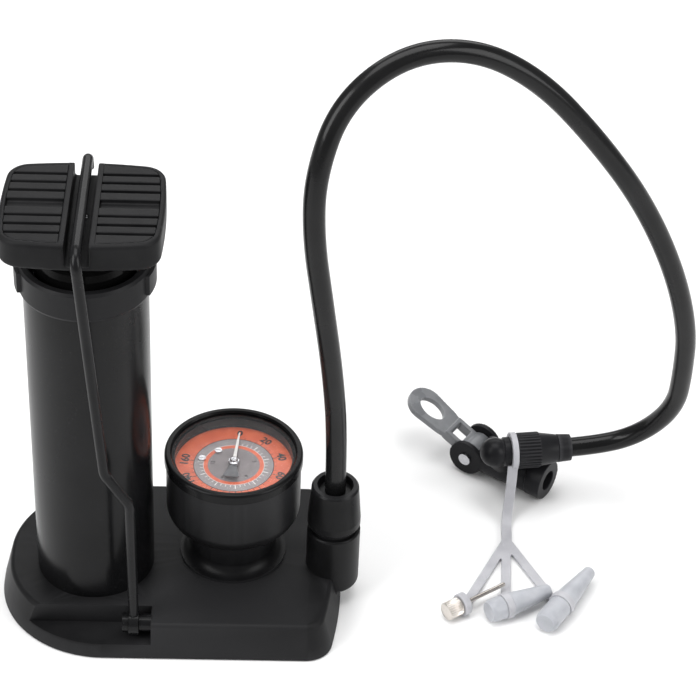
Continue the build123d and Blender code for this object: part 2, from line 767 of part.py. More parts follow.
# ---------------------------------------------------------------- hose elbow on the base
with BuildPart() as hose_elbow:
    with Locations((elbow_x, elbow_y, elbow_bottom)):
        Cylinder(elbow_radius, elbow_top - elbow_bottom, align=on_top)
    fillet(hose_elbow.edges().group_by(Axis.Z)[0], 2.5)
    fillet(hose_elbow.edges().group_by(Axis.Z)[-1], 1.0)
    with Locations((elbow_x, elbow_y, elbow_top - 1)):
        Cylinder(9.4, nut_bottom - elbow_top + 1, align=on_top)
        Cylinder(union_radius, 10, align=on_top)
    with Locations((elbow_x, elbow_y, elbow_top + 8)):
        Cylinder(2.6, hose_start - elbow_top - 8, align=on_top)
    with Locations(Plane(origin=(spigot_end, elbow_y, hose_duct_level), z_dir=(1, 0, 0))):
        Cylinder(duct_radius, 10, align=on_top)
        Cylinder(duct_bore, 15, align=on_top, mode=Mode.SUBTRACT)
    with Locations((elbow_x, elbow_y, hose_duct_level)):
        Cylinder(duct_bore, 60, align=on_top, mode=Mode.SUBTRACT)
hose_elbow.part.label = "hose_elbow"
export_step(hose_elbow.part, "parts/hose_elbow.step")

seal_radius = 8.0
seal_height = 1.5
with BuildPart() as elbow_seal:
    with BuildSketch(Plane.XY.offset(nut_bottom)):
        with Locations((elbow_x, elbow_y)):
            Circle(seal_radius)
            Circle(union_radius, mode=Mode.SUBTRACT)
    extrude(amount=seal_height)
elbow_seal.part.label = "elbow_seal"
export_step(elbow_seal.part, "parts/elbow_seal.step")

with BuildPart() as hose_nut:
    revolve(
        closed_outline(
            elbow_section,
            [
                (seal_radius, nut_bottom),
                (nut_radius - 0.6, nut_bottom),
                (nut_radius, nut_bottom + 1),
                (nut_radius, nut_bottom + 4),
                (9.7, nut_top - 1),
                (9.0, nut_top),
                (7.4, nut_top),
                (6.4, nut_top - 3),
                (hose_hole, nut_top - 3),
                (hose_hole, nut_bottom + 10),
                (union_radius, nut_bottom + 9),
                (union_radius, nut_bottom + seal_height),
                (seal_radius, nut_bottom + seal_height),
            ],
        ),
        axis=elbow_axis,
    )
hose_nut.part.label = "hose_nut"
export_step(hose_nut.part, "parts/hose_nut.step")

# ---------------------------------------------------------------- hose
# up out of the nut, over in one tall loop, down beside the head and along the gland
hose_points = [
    (63.0, -3.5, 50.0),
    (63.0, -3.5, 82.0),
    (60.0, -9.5, 120.0),
    (55.0, -15.0, 158.0),
    (50.5, -17.0, 190.0),
    (50.5, -15.5, 216.0),
    (59.0, -7.5, 242.0),
    (81.0, 4.5, 256.0),
    (107.5, 12.0, 255.0),
    (133.0, 17.0, 239.0),
    (157.0, 21.0, 211.0),
    (178.5, 27.5, 179.0),
    (195.5, 34.0, 143.0),
    (206.0, 41.0, 108.0),
    (208.5, 48.0, 80.0),
    (209.0, 54.5, 56.0),
    (198.5, 60.5, 36.5),
    (181.0, 62.8, 26.5),
    (160.2, 60.0, 26.5),
]


def bend_radii(points):
    """Bend radius at each corner of a route: as large as its two runs allow."""
    radii = []
    for before, corner, after in zip(points, points[1:], points[2:]):
        run_in = Vector(*corner) - Vector(*before)
        run_out = Vector(*after) - Vector(*corner)
        half_turn = radians(run_in.get_angle(run_out)) / 2
        radii.append(0.45 * min(run_in.length, run_out.length) / tan(half_turn))
    return radii


hose_radii = bend_radii(hose_points)
print("hose radii", [round(r) for r in hose_radii])
with BuildPart() as hose:
    with BuildLine() as hose_line:
        FilletPolyline(*hose_points, radius=hose_radii)
    with BuildSketch(Plane(origin=hose_line.line @ 0, z_dir=hose_line.line % 0)):
        Circle(hose_radius)
    sweep()
hose_length = sum(edge.length for edge in hose_line.edges())
hose_volume = pi * hose_radius ** 2 * hose_length
print("hose length", round(hose_length), "volume over section times length", hose.part.volume / hose_volume)
hose.part.label = "hose"
export_step(hose.part, "parts/hose.step")

# ---------------------------------------------------------------- valve head
lever_slot = 6.2
head_bore = 6.6
cheek_radius = 8.2
pin_radius = 1.5
air_hole = 1.5
spigot_radius = 5.0
spigot_tip = 18.0
neck_radius_head = 6.0
bore_start = 5.4
neck_foot = Vector(17, 0, 0)
neck_top = gland_origin - gland_dir * 7.7
neck_top_local = head_plane.to_local_coords(neck_top)
neck_line = neck_top_local - neck_foot
cup_end = 30.0
grommet_start = 23.0
grommet_overlap = 2.0
ring_radius = 8.3
with BuildPart(head_plane) as head_body:
    with Locations((bore_start, 0, 0)):
        Cylinder(head_radius, cup_end - bore_start, rotation=(0, 90, 0), align=on_top)
    Cylinder(cheek_radius, 2 * head_radius, rotation=(90, 0, 0))
    with Locations(Plane(origin=neck_foot, z_dir=neck_line)):
        Cylinder(neck_radius_head, neck_line.length, align=on_top)
    with Locations(neck_top_local):
        Sphere(6.5)
    # slot for the cam of the lever, and the bore of the plunger and grommet
    with Locations((-5, 0, 0)):
        Box(21, 2 * lever_slot, 40, mode=Mode.SUBTRACT)
    with Locations((bore_start, 0, 0)):
        Cylinder(head_bore, 60, rotation=(0, 90, 0), align=on_top, mode=Mode.SUBTRACT)
    with Locations(Plane(origin=neck_foot, z_dir=neck_line)):
        Cylinder(air_hole, neck_line.length, align=on_top, mode=Mode.SUBTRACT)
    Cylinder(pin_radius, 40, rotation=(90, 0, 0), mode=Mode.SUBTRACT)
    # room for the strap ring and gland nut beside the neck
    with BuildSketch(along_gland.offset(-1)):
        Circle(ring_radius + 0.3)
    extrude(amount=spigot_tip, mode=Mode.SUBTRACT)
    # shoulder and threaded spigot that take the hose
    with BuildSketch(along_gland.offset(-4)):
        Circle(6.4)
    extrude(amount=3.0)
    with BuildSketch(along_gland.offset(-1)):
        Circle(spigot_radius)
    extrude(amount=spigot_tip + 1)
    with BuildSketch(along_gland.offset(-4)):
        Circle(air_hole)
    extrude(amount=spigot_tip + 5, mode=Mode.SUBTRACT)
head_body.part.label = "head_body"
export_step(head_body.part, "parts/head_body.step")

with BuildPart(head_plane) as head_cap:
    with Locations((cup_end, 0, 0)):
        Cylinder(head_radius + 0.4, head_length - cup_end, rotation=(0, 90, 0), align=on_top)
        Cylinder(head_bore, grommet_overlap, rotation=(0, 90, 0), align=on_top, mode=Mode.SUBTRACT)
        Cylinder(valve_radius + 0.55, 20, rotation=(0, 90, 0), align=on_top, mode=Mode.SUBTRACT)
head_cap.part.label = "head_cap"
export_step(head_cap.part, "parts/head_cap.step")

with BuildPart(head_plane) as valve_grommet:
    grommet_length = cup_end + grommet_overlap - grommet_start
    with Locations((grommet_start, 0, 0)):
        Cylinder(head_bore, grommet_length, rotation=(0, 90, 0), align=on_top)
        Cylinder(valve_radius, 20, rotation=(0, 90, 0), align=on_top, mode=Mode.SUBTRACT)
valve_grommet.part.label = "valve_grommet"
export_step(valve_grommet.part, "parts/valve_grommet.step")

with BuildPart(head_plane) as head_plunger:
    with Locations((6.6, 0, 0)):
        Cylinder(head_bore - 0.08, 14.0, rotation=(0, 90, 0), align=on_top)
    with Locations((9.0, 0, 0)):
        Cylinder(head_bore + 1, 8.6, rotation=(0, 90, 0), align=on_top, mode=Mode.SUBTRACT)
        Cylinder(4.0, 8.6, rotation=(0, 90, 0), align=on_top)
        Cylinder(1.6, 20, rotation=(0, 90, 0), align=on_top, mode=Mode.SUBTRACT)
head_plunger.part.label = "head_plunger"
export_step(head_plunger.part, "parts/head_plunger.step")

lever_length = 38.0
lever_thickness = 2.8
cam_radius = 5.0
cam_width = 2 * lever_slot - 0.4
paddle_start = 12.0
paddle_waist = 18.0
paddle_half_width = 8.5
tip_start = lever_length - 8.6
with BuildPart(lever_plane) as head_lever:
    # cam and fork between the cheeks, hollowed on both faces
    Cylinder(cam_radius, cam_width, rotation=(90, 0, 0))
    with Locations((8, 0, 0)):
        Box(13, cam_width, cam_radius)
    with Locations((9.5, 0, 1.5), (9.5, 0, -1.5)):
        Box(6.5, 8, 3.2, mode=Mode.SUBTRACT)
    # paddle with its finger hole
    with BuildSketch(lever_plane.offset(-lever_thickness / 2)):
        with BuildLine():
            Line((paddle_start, -6.0), (paddle_waist, -7.4))
            Line((paddle_waist, -7.4), (tip_start, -paddle_half_width))
            ThreePointArc((tip_start, -paddle_half_width), (lever_length, 0), (tip_start, paddle_half_width))
            Line((tip_start, paddle_half_width), (paddle_waist, 7.4))
            Line((paddle_waist, 7.4), (paddle_start, 6.0))
            Line((paddle_start, 6.0), (paddle_start, -6.0))
        make_face()
        with Locations((26.0, 0)):
            Ellipse(6.4, 4.4, mode=Mode.SUBTRACT)
    extrude(amount=lever_thickness)
    Cylinder(pin_radius + running_gap, 40, rotation=(90, 0, 0), mode=Mode.SUBTRACT)
head_lever.part.label = "head_lever"
export_step(head_lever.part, "parts/head_lever.step")

with BuildPart(head_plane) as lever_pin:
    Cylinder(pin_radius, 2 * head_radius + 0.4, rotation=(90, 0, 0))
    with Locations((0, head_radius + 0.5, 0), (0, -head_radius - 0.5, 0)):
        Cylinder(2.8, 0.9, rotation=(90, 0, 0))
lever_pin.part.label = "lever_pin"
export_step(lever_pin.part, "parts/lever_pin.step")

nut_start = 1.8
nut_end = 20.0
grip_length = 10.2
grip_flutes = 20
gland_nut_radius = 7.9
with BuildPart(along_gland) as gland_nut:
    with Locations((0, 0, nut_start)):
        Cylinder(gland_nut_radius, grip_length, align=on_top)
    with Locations((0, 0, nut_start + grip_length)):
        Cone(gland_nut_radius, 6.0, nut_end - nut_start - grip_length, align=on_top)
    with Locations((0, 0, nut_start + 0.8)):
        with PolarLocations(gland_nut_radius + 0.1, grip_flutes):
            Cylinder(0.45, grip_length - 1.8, align=on_top, mode=Mode.SUBTRACT)
    with Locations((0, 0, nut_start)):
        Cylinder(spigot_radius, spigot_tip - nut_start, align=on_top, mode=Mode.SUBTRACT)
        Cylinder(hose_hole, 30, align=on_top, mode=Mode.SUBTRACT)
gland_nut.part.label = "gland_nut"
export_step(gland_nut.part, "parts/gland_nut.step")

with BuildPart(along_gland) as hose_ferrule:
    with Locations((0, 0, nut_end)):
        Cone(6.2, 5.8, 5.6, align=on_top)
        Cylinder(hose_hole, 10, align=on_top, mode=Mode.SUBTRACT)
hose_ferrule.part.label = "hose_ferrule"
export_step(hose_ferrule.part, "parts/hose_ferrule.step")

# ---------------------------------------------------------------- strap tree with needle and nozzles
floor_strap = 1.2
strap_thickness = 1.4
band_width = 3.2
needle_band_radius = 4.8
needle_groove = 3.0
needle_groove_at = 7.2
nozzle_radius = 5.5
nozzle_body_radius = nozzle_radius - 0.5
nozzle_groove = 4.3
short_groove_at = 7.0
long_groove_at = 13.0
needle_length = 31.0
needle_tip = 0.95
short_length = 30.0
short_tip = 2.8
long_length = 39.0
long_tip = 2.6


def lying_plane(x, y, axis_height, heading):
    """Plane across an axis that lies level at a height and points along a heading in degrees."""
    direction = (cos(radians(heading)), sin(radians(heading)), 0)
    return Plane(origin=(x, y, axis_height), x_dir=UP, z_dir=direction)


needle_plane = lying_plane(110.4, -21.0, needle_band_radius, 34.6)
short_nozzle_plane = lying_plane(128.0, -21.3, nozzle_radius, 27.5)
long_nozzle_plane = lying_plane(151.0, -27.6, nozzle_radius, 56.0)
fork_point = (138.9, 27.0, floor_strap)
band_places = [
    (needle_plane, needle_groove_at, needle_band_radius, needle_groove, needle_length, needle_tip),
    (short_nozzle_plane, short_groove_at, nozzle_radius, nozzle_groove, short_length, short_tip),
    (long_nozzle_plane, long_groove_at, nozzle_radius, nozzle_groove, long_length, long_tip),
]

with BuildPart() as strap_tree:
    with BuildSketch(along_gland.offset(-1)):
        Circle(ring_radius)
        Circle(spigot_radius, mode=Mode.SUBTRACT)
    extrude(amount=2.6)
    with BuildLine() as tail:
        FilletPolyline(
            (gland_point[0] + 0.2, gland_point[1] - 6.6, gland_point[2] - 3),
            (gland_point[0] - 0.2, gland_point[1] - 9.5, gland_point[2] - 12),
            (139.6, 40.5, floor_strap),
            (fork_point[0], fork_point[1] - 3, floor_strap),
            radius=[10, 10],
        )
    with BuildSketch(Plane(origin=tail.line @ 0, x_dir=(1, 0, 0), z_dir=tail.line % 0)):
        Rectangle(4.4, strap_thickness)
    sweep()
    for plane, along, outer, inner, length, tip in band_places:
        centre = plane.origin + plane.z_dir * (along + band_width / 2)
        reach = Vector(centre.X, centre.Y, floor_strap) - Vector(*fork_point)
        with BuildSketch(Plane(origin=fork_point, x_dir=(reach.Y, -reach.X, 0), z_dir=reach)):
            Rectangle(4.0, strap_thickness)
        extrude(amount=reach.length)
    # room for the needle and nozzles, then the band around each
    for plane, along, outer, inner, length, tip in band_places:
        room = outer - 0.45
        band_end = along + band_width
        with Locations(plane):
            Cylinder(room, band_end, align=on_top, mode=Mode.SUBTRACT)
        with Locations(plane.offset(band_end)):
            Cone(room, tip + 0.3, length - band_end, align=on_top, mode=Mode.SUBTRACT)
    for plane, along, outer, inner, length, tip in band_places:
        with BuildSketch(plane.offset(along)):
            Circle(outer)
            Circle(inner, mode=Mode.SUBTRACT)
        extrude(amount=band_width)
strap_tree.part.label = "strap_tree"
export_step(strap_tree.part, "parts/strap_tree.step")

with BuildPart(needle_plane) as ball_needle:
    Cylinder(3.9, 7.0, align=on_top)
    Cylinder(needle_groove, 11.0, align=on_top)
    Cylinder(needle_tip, needle_length, align=on_top)
    Cylinder(0.55, 40, align=on_top, mode=Mode.SUBTRACT)
ball_needle.part.label = "ball_needle"
export_step(ball_needle.part, "parts/ball_needle.step")

for name, plane, groove_at, length, tip in (
    ("short_nozzle", short_nozzle_plane, short_groove_at, short_length, short_tip),
    ("long_nozzle", long_nozzle_plane, long_groove_at, long_length, long_tip),
):
    cone_start = groove_at + band_width
    with BuildPart(plane) as nozzle:
        Cylinder(nozzle_body_radius, groove_at, align=on_top)
        fillet(nozzle.edges().filter_by(GeomType.CIRCLE).sort_by(Axis(plane.origin, plane.z_dir))[0], 2.4)
        Cylinder(nozzle_groove, cone_start, align=on_top)
        with Locations((0, 0, cone_start)):
            Cone(nozzle_body_radius, tip, length - cone_start, align=on_top)
        fillet(nozzle.edges().filter_by(GeomType.CIRCLE).sort_by(Axis(plane.origin, plane.z_dir))[-1], 1.2)
        with Locations((0, 0, 2)):
            Cylinder(1.0, 60, align=on_top, mode=Mode.SUBTRACT)
    nozzle.part.label = name
    export_step(nozzle.part, "parts/" + name + ".step")
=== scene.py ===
import json
import math

import bmesh
import bpy
from mathutils import Matrix, Vector


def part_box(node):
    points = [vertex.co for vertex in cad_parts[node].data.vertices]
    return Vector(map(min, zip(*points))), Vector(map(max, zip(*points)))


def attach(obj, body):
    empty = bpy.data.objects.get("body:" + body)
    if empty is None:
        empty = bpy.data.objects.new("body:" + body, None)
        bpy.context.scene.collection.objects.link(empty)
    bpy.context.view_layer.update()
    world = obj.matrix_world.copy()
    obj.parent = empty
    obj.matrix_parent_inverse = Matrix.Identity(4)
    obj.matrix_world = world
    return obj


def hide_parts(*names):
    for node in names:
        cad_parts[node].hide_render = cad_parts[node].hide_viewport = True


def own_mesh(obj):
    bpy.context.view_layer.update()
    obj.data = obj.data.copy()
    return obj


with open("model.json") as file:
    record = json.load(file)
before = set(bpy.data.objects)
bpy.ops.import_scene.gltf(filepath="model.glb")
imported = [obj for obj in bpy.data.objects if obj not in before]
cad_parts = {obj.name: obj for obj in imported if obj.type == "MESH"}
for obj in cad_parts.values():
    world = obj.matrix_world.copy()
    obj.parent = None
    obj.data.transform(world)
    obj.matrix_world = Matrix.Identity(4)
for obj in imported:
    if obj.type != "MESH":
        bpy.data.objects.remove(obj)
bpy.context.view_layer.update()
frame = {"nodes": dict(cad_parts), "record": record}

MM = 0.001
record = frame["record"]
cad_nodes = frame["nodes"]
body_of_node = {node: body for body, members in record["behaviour"]["bodies"].items() for node in members}
slot_of_node = {part["node"]: part["material_slot"] for part in record["subparts"]}


# ---------------------------------------------------------------- materials
def new_material(name):
    """An empty node material: returns it with its node tree and its Principled shader."""
    material = bpy.data.materials.new(name)
    material.use_nodes = True
    tree = material.node_tree
    return material, tree, tree.nodes["Principled BSDF"]


def noise(tree, scale, detail=4.0, roughness=0.55, stretch=(1, 1, 1)):
    """Noise in object space, in metres; stretch scales it along each axis."""
    place = tree.nodes.new("ShaderNodeTexCoord")
    mapping = tree.nodes.new("ShaderNodeMapping")
    mapping.inputs["Scale"].default_value = stretch
    texture = tree.nodes.new("ShaderNodeTexNoise")
    texture.inputs["Scale"].default_value = scale
    texture.inputs["Detail"].default_value = detail
    texture.inputs["Roughness"].default_value = roughness
    tree.links.new(place.outputs["Object"], mapping.inputs["Vector"])
    tree.links.new(mapping.outputs["Vector"], texture.inputs["Vector"])
    return texture.outputs["Fac"]


def ramp(tree, value, low, high, start=0.35, end=0.65):
    """Blends two colours by a value."""
    node = tree.nodes.new("ShaderNodeValToRGB")
    node.color_ramp.elements[0].position = start
    node.color_ramp.elements[0].color = (*low, 1)
    node.color_ramp.elements[1].position = end
    node.color_ramp.elements[1].color = (*high, 1)
    tree.links.new(value, node.inputs["Fac"])
    return node.outputs["Color"]


def spread(tree, value, low, high, start=0.3, end=0.7):
    """Maps a value from start..end to low..high."""
    node = tree.nodes.new("ShaderNodeMapRange")
    node.inputs["From Min"].default_value = start
    node.inputs["From Max"].default_value = end
    node.inputs["To Min"].default_value = low
    node.inputs["To Max"].default_value = high
    tree.links.new(value, node.inputs["Value"])
    return node.outputs["Result"]


def edge_mask(tree, start=0.52, end=0.60):
    """One on worn convex edges, zero elsewhere."""
    geometry = tree.nodes.new("ShaderNodeNewGeometry")
    return spread(tree, geometry.outputs["Pointiness"], 0, 1, start, end)


def mix_colour(tree, factor, first, second):
    node = tree.nodes.new("ShaderNodeMix")
    node.data_type = "RGBA"
    tree.links.new(factor, node.inputs["Factor"])
    tree.links.new(first, node.inputs[6])
    if isinstance(second, tuple):
        node.inputs[7].default_value = (*second, 1)
    else:
        tree.links.new(second, node.inputs[7])
    return node.outputs[2]


def bump(tree, shader, height, distance, strength=1.0, before=None):
    node = tree.nodes.new("ShaderNodeBump")
    node.inputs["Distance"].default_value = distance
    node.inputs["Strength"].default_value = strength
    tree.links.new(height, node.inputs["Height"])
    if before is not None:
        tree.links.new(before, node.inputs["Normal"])
    tree.links.new(node.outputs["Normal"], shader.inputs["Normal"])
    return node.outputs["Normal"]


def moulded_plastic(name, dark, light, gloss, grain=0.00002, grain_scale=2600, wear=None, coat=0.0):
    """Moulded plastic or rubber: mottled colour, uneven gloss, a fine grain and paler edges."""
    material, tree, shader = new_material(name)
    cloud = noise(tree, 45, 6)
    colour = ramp(tree, cloud, dark, light)
    if wear is not None:
        colour = mix_colour(tree, edge_mask(tree), colour, wear)
    tree.links.new(colour, shader.inputs["Base Color"])
    smear = noise(tree, 22, 5, 0.6)
    tree.links.new(spread(tree, smear, gloss[0], gloss[1]), shader.inputs["Roughness"])
    bump(tree, shader, noise(tree, grain_scale, 2), grain, 0.6)
    shader.inputs["Specular IOR Level"].default_value = 0.12
    shader.inputs["Coat Weight"].default_value = coat
    shader.inputs["Coat Roughness"].default_value = 0.12
    return material


def paint(name, dark, light, gloss, peel=0.000015):
    """Sprayed paint on metal: orange peel and faint dust."""
    material, tree, shader = new_material(name)
    cloud = noise(tree, 30, 6)
    colour = ramp(tree, cloud, dark, light)
    speck = spread(tree, noise(tree, 1900, 2), 0, 1, 0.71, 0.76)
    colour = mix_colour(tree, speck, colour, (0.07, 0.07, 0.072))
    tree.links.new(colour, shader.inputs["Base Color"])
    tree.links.new(spread(tree, noise(tree, 14, 5), gloss[0], gloss[1]), shader.inputs["Roughness"])
    bump(tree, shader, noise(tree, 700, 3), peel, 0.5)
    shader.inputs["Specular IOR Level"].default_value = 0.14
    shader.inputs["Coat Weight"].default_value = 0.08
    shader.inputs["Coat Roughness"].default_value = 0.14
    return material


def metal(name, dark, light, gloss, stretch=(1, 1, 1)):
    """Bare or plated metal with fine brushing along one axis."""
    material, tree, shader = new_material(name)
    brushed = noise(tree, 900, 4, 0.6, stretch)
    tree.links.new(ramp(tree, brushed, dark, light), shader.inputs["Base Color"])
    tree.links.new(spread(tree, brushed, gloss[0], gloss[1]), shader.inputs["Roughness"])
    shader.inputs["Metallic"].default_value = 1.0
    bump(tree, shader, brushed, 0.00001, 0.4)
    return material


def translucent(name, dark, light, gloss, depth):
    """Soft translucent plastic: light spreads beneath a slightly waxy surface."""
    material, tree, shader = new_material(name)
    tree.links.new(ramp(tree, noise(tree, 120, 4), dark, light), shader.inputs["Base Color"])
    tree.links.new(spread(tree, noise(tree, 60, 4), gloss[0], gloss[1]), shader.inputs["Roughness"])
    bump(tree, shader, noise(tree, 800, 3), 0.00002, 0.5)
    shader.inputs["Subsurface Weight"].default_value = 0.75
    shader.inputs["Subsurface Radius"].default_value = (1.0, 1.0, 1.0)
    shader.inputs["Subsurface Scale"].default_value = depth
    return material


def clear_lens(name):
    """Clear plate: mostly see-through, with sharp reflections and a few faint smears."""
    material, tree, shader = new_material(name)
    tree.links.new(spread(tree, noise(tree, 90, 4), 0.02, 0.09), shader.inputs["Roughness"])
    tint = ramp(tree, noise(tree, 60, 3), (0.75, 0.78, 0.8), (0.9, 0.92, 0.94))
    tree.links.new(tint, shader.inputs["Base Color"])
    shader.inputs["Alpha"].default_value = 0.03
    shader.inputs["Specular IOR Level"].default_value = 0.25
    material.surface_render_method = "BLENDED"
    return material


def print_ink(name, dark, light, gloss=(0.3, 0.45)):
    """Screen-printed ink: nearly even, with a faint mottle."""
    material, tree, shader = new_material(name)
    tree.links.new(ramp(tree, noise(tree, 240, 5), dark, light), shader.inputs["Base Color"])
    tree.links.new(spread(tree, noise(tree, 160, 3), gloss[0], gloss[1]), shader.inputs["Roughness"])
    bump(tree, shader, noise(tree, 3200, 2), 0.000006, 0.4)
    return material


slot_materials = {
    "base_plastic": moulded_plastic(
        "base_plastic", (0.0066, 0.0066, 0.0072), (0.012, 0.012, 0.0126), (0.38, 0.55),
        grain=0.00003, grain_scale=1900, wear=(0.021, 0.021, 0.0222),
    ),
    "foot_rubber": moulded_plastic(
        "foot_rubber", (0.0072, 0.0072, 0.0072), (0.0132, 0.0132, 0.0132), (0.7, 0.9),
    ),
    "steel": metal("steel", (0.42, 0.42, 0.44), (0.62, 0.62, 0.64), (0.2, 0.36), stretch=(1, 1, 12)),
    "inner_plastic": moulded_plastic("inner_plastic", (0.55, 0.55, 0.53), (0.68, 0.68, 0.66), (0.4, 0.55)),
    "valve_rubber": moulded_plastic(
        "valve_rubber", (0.012, 0.012, 0.012), (0.024, 0.024, 0.024), (0.6, 0.8),
    ),
    "barrel_paint": paint("barrel_paint", (0.0033, 0.0033, 0.0036), (0.0066, 0.0066, 0.0072), (0.2, 0.32)),
    "collar_plastic": moulded_plastic(
        "collar_plastic", (0.006, 0.006, 0.0066), (0.0108, 0.0108, 0.0114), (0.34, 0.48),
        wear=(0.018, 0.018, 0.0192),
    ),
    "cap_gloss": moulded_plastic(
        "cap_gloss", (0.0036, 0.0036, 0.0036), (0.006, 0.006, 0.006), (0.06, 0.16),
        grain=0.000005,
    ),
    "rod_chrome": metal(
        "rod_chrome", (0.6, 0.6, 0.62), (0.75, 0.75, 0.77), (0.06, 0.14),
        stretch=(1, 1, 20),
    ),
    "pedal_plastic": moulded_plastic(
        "pedal_plastic", (0.0066, 0.0066, 0.0072), (0.012, 0.012, 0.0126), (0.42, 0.56),
        grain=0.00004, grain_scale=1700, wear=(0.021, 0.021, 0.0222),
    ),
    "tread_rubber": moulded_plastic(
        "tread_rubber", (0.0072, 0.0072, 0.0078), (0.0132, 0.0132, 0.0138), (0.4, 0.55),
        grain=0.00004, grain_scale=1500, wear=(0.024, 0.024, 0.0252),
    ),
    "wire_paint": paint("wire_paint", (0.0042, 0.0042, 0.0048), (0.009, 0.009, 0.0096), (0.22, 0.34)),
    "gauge_plastic": moulded_plastic(
        "gauge_plastic", (0.0048, 0.0048, 0.0051), (0.009, 0.009, 0.0096), (0.3, 0.42),
        grain=0.00002, grain_scale=2300, wear=(0.018, 0.018, 0.0192),
    ),
    "bezel_plastic": moulded_plastic(
        "bezel_plastic", (0.0048, 0.0048, 0.0051), (0.0084, 0.0084, 0.009), (0.22, 0.34),
        grain=0.00001,
    ),
    "lens": clear_lens("lens"),
    "dial_print": print_ink("dial_print", (0.62, 0.095, 0.03), (0.75, 0.14, 0.05)),
    "brass": metal("brass", (0.55, 0.4, 0.16), (0.75, 0.58, 0.28), (0.2, 0.32)),
    "needle_paint": print_ink("needle_paint", (0.05, 0.05, 0.055), (0.09, 0.09, 0.1)),
    "fitting_plastic": moulded_plastic(
        "fitting_plastic", (0.0054, 0.0054, 0.0057), (0.0102, 0.0102, 0.0108), (0.26, 0.4),
        grain=0.00002, grain_scale=2100, wear=(0.021, 0.021, 0.0222),
    ),
    "hose_rubber": moulded_plastic(
        "hose_rubber", (0.0048, 0.0048, 0.0051), (0.009, 0.009, 0.0093), (0.2, 0.34),
        grain=0.000012, grain_scale=1200, coat=0.2,
    ),
    "head_plastic": moulded_plastic(
        "head_plastic", (0.0084, 0.0084, 0.0096), (0.0156, 0.0156, 0.0174), (0.3, 0.44),
        grain=0.00002, grain_scale=2100, wear=(0.036, 0.036, 0.039),
    ),
    "lever_plastic": translucent(
        "lever_plastic", (0.16, 0.165, 0.175), (0.22, 0.225, 0.235), (0.26, 0.4),
        depth=0.0006,
    ),
    "strap_plastic": translucent(
        "strap_plastic", (0.4, 0.4, 0.425), (0.47, 0.47, 0.495), (0.35, 0.5),
        depth=0.0006,
    ),
    "nozzle_plastic": translucent(
        "nozzle_plastic", (0.38, 0.39, 0.42), (0.46, 0.47, 0.5), (0.35, 0.5),
        depth=0.0008,
    ),
    "nickel": metal("nickel", (0.5, 0.46, 0.42), (0.72, 0.68, 0.64), (0.14, 0.3), stretch=(6, 6, 6)),
}
orange_ink = slot_materials["dial_print"]
dark_ink = print_ink("dark_ink", (0.012, 0.008, 0.008), (0.02, 0.014, 0.014))
grey_ink = print_ink("grey_ink", (0.25, 0.22, 0.225), (0.31, 0.28, 0.285))
centre_ink = print_ink("centre_ink", (0.17, 0.145, 0.15), (0.22, 0.19, 0.195))
white_ink = print_ink("white_ink", (0.74, 0.72, 0.7), (0.84, 0.82, 0.8))


# ---------------------------------------------------------------- finish of the CAD pieces
for node, piece in cad_nodes.items():
    piece.data.materials.clear()
    piece.data.materials.append(slot_materials[slot_of_node[node]])


def place(piece, node, *more_nodes):
    """The piece stands for the CAD node and takes its body, slot and material."""
    if not piece.data.materials:
        piece.data.materials.append(slot_materials[slot_of_node[node]])
    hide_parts(node, *more_nodes)
    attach(piece, body_of_node[node])
    return piece


def object_from(bm, name):
    mesh = bpy.data.meshes.new(name)
    bm.to_mesh(mesh)
    bm.free()
    piece = bpy.data.objects.new(name, mesh)
    bpy.context.scene.collection.objects.link(piece)
    return piece


def apply_modifiers(piece):
    """Bakes the piece's modifiers into its mesh."""
    graph = bpy.context.evaluated_depsgraph_get()
    graph.update()
    mesh = bpy.data.meshes.new_from_object(piece.evaluated_get(graph))
    piece.modifiers.clear()
    piece.data = mesh


def softened(node, name, voxel_mm, rounds):
    """A copy of a CAD node, remeshed and smoothed so that its edges round over as a moulding's do."""
    bm = bmesh.new()
    bm.from_mesh(cad_nodes[node].data)
    bmesh.ops.remove_doubles(bm, verts=bm.verts, dist=0.000001)
    piece = object_from(bm, name)
    remesh = piece.modifiers.new("remesh", "REMESH")
    remesh.mode = "VOXEL"
    remesh.voxel_size = voxel_mm * MM
    remesh.use_smooth_shade = True
    smooth = piece.modifiers.new("smooth", "SMOOTH")
    smooth.factor = 0.5
    smooth.iterations = rounds
    apply_modifiers(piece)
    for face in piece.data.polygons:
        face.use_smooth = True
    return place(piece, node)


# ---------------------------------------------------------------- turned pieces
def axis_frame(origin, direction):
    """Matrix whose third axis is the direction, at the origin."""
    matrix = Vector(direction).to_track_quat("Z", "Y").to_matrix().to_4x4()
    matrix.translation = Vector(origin)
    return matrix


def turned(name, profile, matrix, segments=96, flutes=0, flute_depth=0.0, fluted=(0, 0), twist=0.0):
    """Surface turned about an axis from (radius, height, material index) points in millimetres.

    Flutes cut their depth into the stations that fluted names, and twist turns them with height.
    """
    bm = bmesh.new()
    rings = []
    for index, station in enumerate(profile):
        radius, height = station[0], station[1]
        ring = []
        for step in range(segments):
            angle = 2 * math.pi * step / segments
            reach = radius
            if flutes and fluted[0] <= index <= fluted[1]:
                wave = math.cos(flutes * angle + twist * height)
                reach = radius - flute_depth * (0.5 - 0.5 * wave) ** 2
            point = Vector((reach * math.cos(angle), reach * math.sin(angle), height)) * MM
            ring.append(bm.verts.new(matrix @ point))
        rings.append(ring)
    for index, (ring, after) in enumerate(zip(rings, rings[1:])):
        for step in range(segments):
            turn = (step + 1) % segments
            face = bm.faces.new((ring[step], ring[turn], after[turn], after[step]))
            face.smooth = True
            if len(profile[index]) > 2:
                face.material_index = profile[index][2]
    if profile[0] != profile[-1]:
        bm.faces.new(list(reversed(rings[0])))
        bm.faces.new(rings[-1])
    bmesh.ops.recalc_face_normals(bm, faces=bm.faces)
    return object_from(bm, name)


